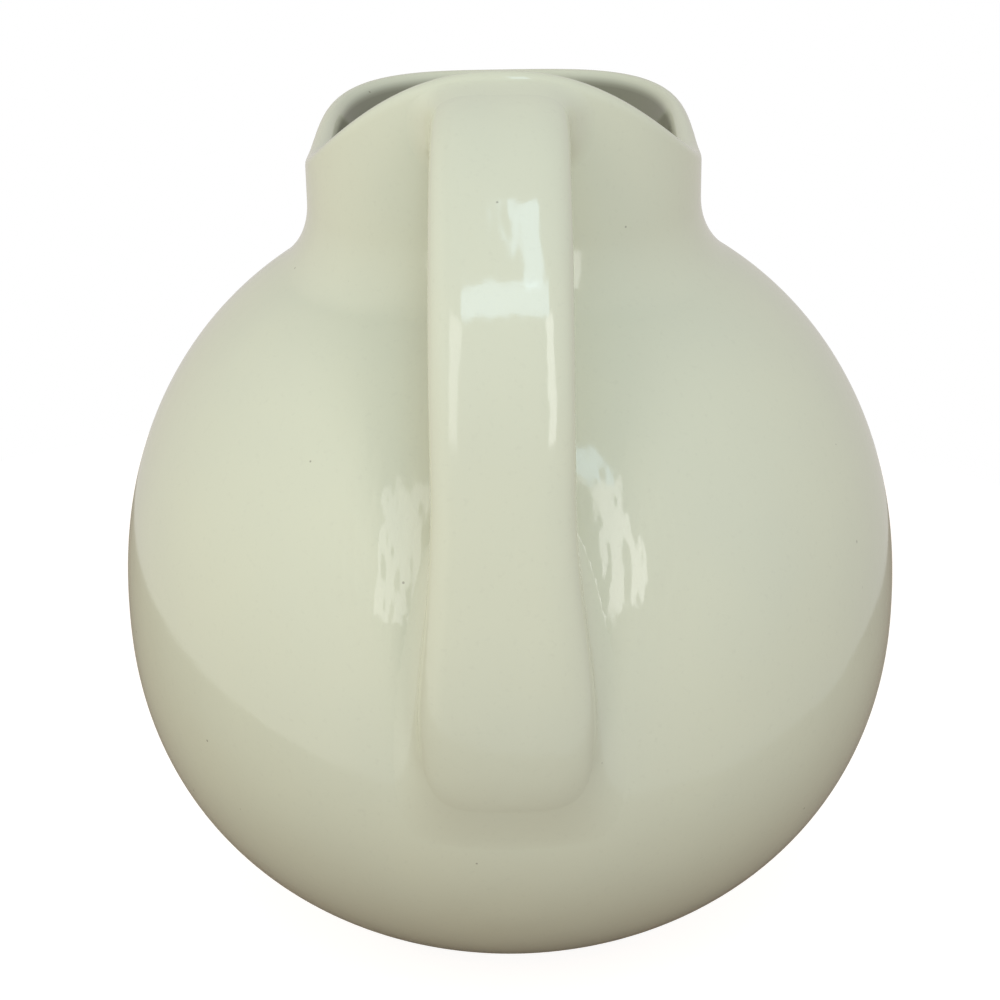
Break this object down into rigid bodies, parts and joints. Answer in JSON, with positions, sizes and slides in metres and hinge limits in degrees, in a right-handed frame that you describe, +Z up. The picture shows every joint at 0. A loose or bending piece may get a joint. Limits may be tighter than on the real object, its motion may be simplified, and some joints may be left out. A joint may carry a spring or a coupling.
{
  "type": "ball pitcher",
  "caption": "Glazed ceramic ball pitcher: a hollow round body, an oval neck with a saddle rim and broad pouring lip, and a strap handle joined at the rim and the belly.",
  "frame": {"origin": "on the table, midway between the handle's back and the ball's front, in the jug's plane of symmetry", "axes": "+Z up, -Y towards the handle, +Y towards the pouring lip, X across the jug"},
  "size_m": [0.164, 0.1727, 0.188],
  "materials": {
    "ivory_glaze": "gloss",
    "bare_clay": "matte"
  },
  "bodies": {
    "root": {"body_shell": "ivory_glaze", "foot_ring": "bare_clay", "handle": "ivory_glaze", "upper_handle_joint": "ivory_glaze", "lower_handle_joint": "ivory_glaze"}
  },
  "joints": []
}
